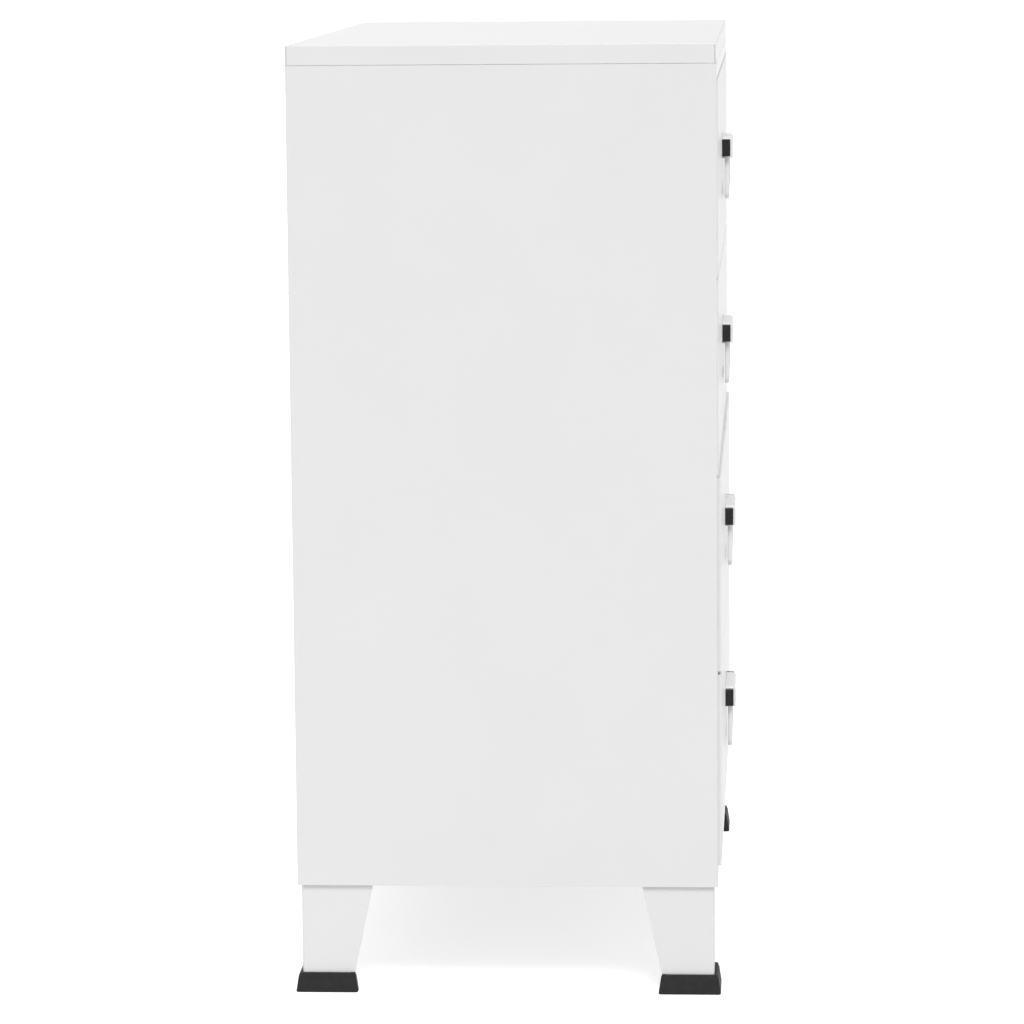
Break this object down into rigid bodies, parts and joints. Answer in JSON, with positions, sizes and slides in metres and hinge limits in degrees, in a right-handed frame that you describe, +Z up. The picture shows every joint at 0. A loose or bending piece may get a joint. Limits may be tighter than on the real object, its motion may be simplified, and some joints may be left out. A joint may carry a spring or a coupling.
{
  "type": "metal drawer cabinet",
  "caption": "White sheet-metal drawer cabinet on tapered capped legs, with sliding full-width drawers on rollers and swinging bail handles.",
  "frame": {"origin": "middle of the base of the whole object's box, at floor level, with the drawers as pictured", "axes": "+X to the right as one faces the drawer fronts, -Y out of the front where the drawers open, +Z up"},
  "size_m": [0.7858, 0.417, 0.9],
  "materials": {
    "body_enamel": "satin white powder coat",
    "front_enamel": "semi-gloss white powder coat",
    "tray_enamel": "satin white powder coat",
    "handle_enamel": "smooth white enamel",
    "black_plastic": "moulded black plastic",
    "black_rubber": "matt black rubber",
    "roller_nylon": "natural nylon",
    "zinc_steel": "zinc plated"
  },
  "bodies": {
    "cabinet": {"side_left": "body_enamel", "side_right": "body_enamel", "back_panel": "body_enamel", "base_pan": "body_enamel", "top_lid": "body_enamel", "top_rail": "body_enamel", "bottom_rail": "body_enamel", "cross_rails": "body_enamel", "rear_uprights": "zinc_steel", "drawer_bumpers": "black_rubber", "leg_bolts": "zinc_steel", "panel_screws": "zinc_steel", "leg_front_left": "body_enamel", "leg_front_right": "body_enamel", "leg_rear_left": "body_enamel", "leg_rear_right": "body_enamel", "foot_cap_front_left": "black_rubber", "foot_cap_front_right": "black_rubber", "foot_cap_rear_left": "black_rubber", "foot_cap_rear_right": "black_rubber", "runner_channels_1": "zinc_steel", "runner_channels_2": "zinc_steel", "runner_channels_3": "zinc_steel", "runner_channels_4": "zinc_steel"},
    "drawer_1": {"drawer_front_1": "front_enamel", "drawer_tray_1": "tray_enamel", "drawer_rails_1": "zinc_steel", "handle_hood_1": "handle_enamel", "handle_blocks_1": "black_plastic", "handle_screws_1": "zinc_steel"},
    "drawer_2": {"drawer_front_2": "front_enamel", "drawer_tray_2": "tray_enamel", "drawer_rails_2": "zinc_steel", "handle_hood_2": "handle_enamel", "handle_blocks_2": "black_plastic", "handle_screws_2": "zinc_steel"},
    "drawer_3": {"drawer_front_3": "front_enamel", "drawer_tray_3": "tray_enamel", "drawer_rails_3": "zinc_steel", "handle_hood_3": "handle_enamel", "handle_blocks_3": "black_plastic", "handle_screws_3": "zinc_steel"},
    "drawer_4": {"drawer_front_4": "front_enamel", "drawer_tray_4": "tray_enamel", "drawer_rails_4": "zinc_steel", "handle_hood_4": "handle_enamel", "handle_blocks_4": "black_plastic", "handle_screws_4": "zinc_steel"},
    "handle_1": {"handle_bail_1": "handle_enamel"},
    "handle_2": {"handle_bail_2": "handle_enamel"},
    "handle_3": {"handle_bail_3": "handle_enamel"},
    "handle_4": {"handle_bail_4": "handle_enamel"},
    "front_roller_pair_1": {"front_rollers_1": "roller_nylon"},
    "front_roller_pair_2": {"front_rollers_2": "roller_nylon"},
    "front_roller_pair_3": {"front_rollers_3": "roller_nylon"},
    "front_roller_pair_4": {"front_rollers_4": "roller_nylon"},
    "rear_roller_pair_1": {"rear_rollers_1": "roller_nylon"},
    "rear_roller_pair_2": {"rear_rollers_2": "roller_nylon"},
    "rear_roller_pair_3": {"rear_rollers_3": "roller_nylon"},
    "rear_roller_pair_4": {"rear_rollers_4": "roller_nylon"}
  },
  "joints": [
    {"name": "drawer_1_slide", "type": "slide", "parent": "cabinet", "child": "drawer_1", "axis": [0, -1, 0], "range_m": [0, 0.3]},
    {"name": "drawer_2_slide", "type": "slide", "parent": "cabinet", "child": "drawer_2", "axis": [0, -1, 0], "range_m": [0, 0.3]},
    {"name": "drawer_3_slide", "type": "slide", "parent": "cabinet", "child": "drawer_3", "axis": [0, -1, 0], "range_m": [-0.0025, 0.2975]},
    {"name": "drawer_4_slide", "type": "slide", "parent": "cabinet", "child": "drawer_4", "axis": [0, -1, 0], "range_m": [-0.0025, 0.2975]},
    {"name": "handle_1_swing", "type": "hinge", "parent": "drawer_1", "child": "handle_1", "pos_m": [0, -0.20015, 0.78412], "axis": [-1, 0, 0], "range_deg": [0, 90]},
    {"name": "handle_2_swing", "type": "hinge", "parent": "drawer_2", "child": "handle_2", "pos_m": [0, -0.20015, 0.59737], "axis": [-1, 0, 0], "range_deg": [0, 90]},
    {"name": "handle_3_swing", "type": "hinge", "parent": "drawer_3", "child": "handle_3", "pos_m": [0, -0.20265, 0.41063], "axis": [-1, 0, 0], "range_deg": [0, 90]},
    {"name": "handle_4_swing", "type": "hinge", "parent": "drawer_4", "child": "handle_4", "pos_m": [0, -0.20265, 0.22387], "axis": [-1, 0, 0], "range_deg": [0, 90]},
    {"name": "front_rollers_1_spin", "type": "hinge", "parent": "cabinet", "child": "front_roller_pair_1", "pos_m": [0, -0.16445, 0.70025], "axis": [1, 0, 0], "range_deg": [-20, 1920]},
    {"name": "rear_rollers_1_spin", "type": "hinge", "parent": "drawer_1", "child": "rear_roller_pair_1", "pos_m": [0, 0.16455, 0.70605], "axis": [1, 0, 0], "range_deg": [-20, 1920]},
    {"name": "front_rollers_2_spin", "type": "hinge", "parent": "cabinet", "child": "front_roller_pair_2", "pos_m": [0, -0.16445, 0.5135], "axis": [1, 0, 0], "range_deg": [-20, 1920]},
    {"name": "rear_rollers_2_spin", "type": "hinge", "parent": "drawer_2", "child": "rear_roller_pair_2", "pos_m": [0, 0.16455, 0.5193], "axis": [1, 0, 0], "range_deg": [-20, 1920]},
    {"name": "front_rollers_3_spin", "type": "hinge", "parent": "cabinet", "child": "front_roller_pair_3", "pos_m": [0, -0.16445, 0.32675], "axis": [1, 0, 0], "range_deg": [-20, 1920]},
    {"name": "rear_rollers_3_spin", "type": "hinge", "parent": "drawer_3", "child": "rear_roller_pair_3", "pos_m": [0, 0.16205, 0.33255], "axis": [1, 0, 0], "range_deg": [-20, 1920]},
    {"name": "front_rollers_4_spin", "type": "hinge", "parent": "cabinet", "child": "front_roller_pair_4", "pos_m": [0, -0.16445, 0.14], "axis": [1, 0, 0], "range_deg": [-20, 1920]},
    {"name": "rear_rollers_4_spin", "type": "hinge", "parent": "drawer_4", "child": "rear_roller_pair_4", "pos_m": [0, 0.16205, 0.1458], "axis": [1, 0, 0], "range_deg": [-20, 1920]}
  ],
  "couplings": [
    {"joint": "front_rollers_1_spin", "follows": "drawer_1_slide", "rad_per_m": 111.11},
    {"joint": "rear_rollers_1_spin", "follows": "drawer_1_slide", "rad_per_m": 111.11},
    {"joint": "front_rollers_2_spin", "follows": "drawer_2_slide", "rad_per_m": 111.11},
    {"joint": "rear_rollers_2_spin", "follows": "drawer_2_slide", "rad_per_m": 111.11},
    {"joint": "front_rollers_3_spin", "follows": "drawer_3_slide", "rad_per_m": 111.11},
    {"joint": "rear_rollers_3_spin", "follows": "drawer_3_slide", "rad_per_m": 111.11},
    {"joint": "front_rollers_4_spin", "follows": "drawer_4_slide", "rad_per_m": 111.11},
    {"joint": "rear_rollers_4_spin", "follows": "drawer_4_slide", "rad_per_m": 111.11}
  ]
}
